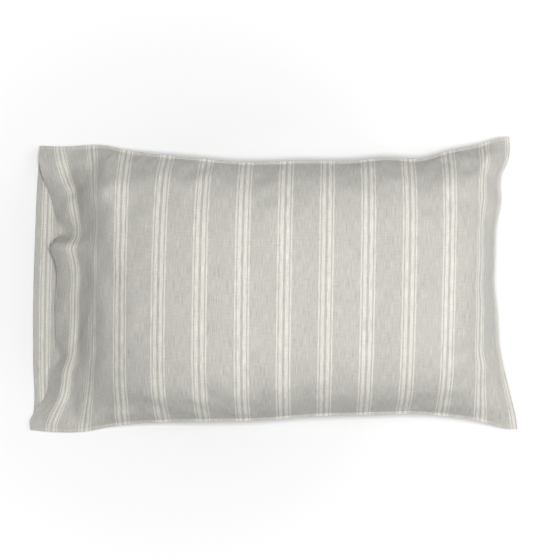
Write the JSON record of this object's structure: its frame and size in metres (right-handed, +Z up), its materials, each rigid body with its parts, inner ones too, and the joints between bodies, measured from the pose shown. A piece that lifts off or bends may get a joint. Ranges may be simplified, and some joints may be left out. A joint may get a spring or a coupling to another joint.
{
  "type": "bed pillow in open-ended pillowcase",
  "caption": "Bed pillow lying flat in an open-ended striped linen pillowcase; the pillow slides out through the case's mouth.",
  "frame": {"origin": "bottom centre of the bounding box, on the surface the pillow lies on", "axes": "+X along the pillow from the case's open mouth to its closed end, +Y across the pillow, +Z up from the floor"},
  "size_m": [0.85, 0.514, 0.1495],
  "materials": {
    "striped_linen": "yarn-dyed plain-weave linen, warm grey melange ground with cream stripes, matte",
    "sewing_thread": "spun polyester sewing thread, grey",
    "white_ticking": "tightly woven white cotton ticking, matte",
    "piping_cord": "white cotton-covered piping cord",
    "polyester_fibre": "white fibre filling",
    "blank_label": "blank woven satin label"
  },
  "bodies": {
    "pillowcase": {"case_front_panel": "striped_linen", "case_back_panel": "striped_linen", "case_front_hem_thread": "sewing_thread", "case_back_hem_thread": "sewing_thread", "case_upper_seam_thread": "sewing_thread", "case_lower_seam_thread": "sewing_thread", "case_end_seam_thread": "sewing_thread", "case_care_label": "blank_label"},
    "insert": {"insert_cover_top": "white_ticking", "insert_cover_bottom": "white_ticking", "insert_piping": "piping_cord", "insert_fill": "polyester_fibre", "insert_label": "blank_label"}
  },
  "joints": [
    {"name": "insert_slide", "type": "slide", "parent": "pillowcase", "child": "insert", "axis": [-1, 0, 0], "range_m": [0, 0.86], "deforming": ["case_front_panel", "case_front_hem_thread"]}
  ]
}
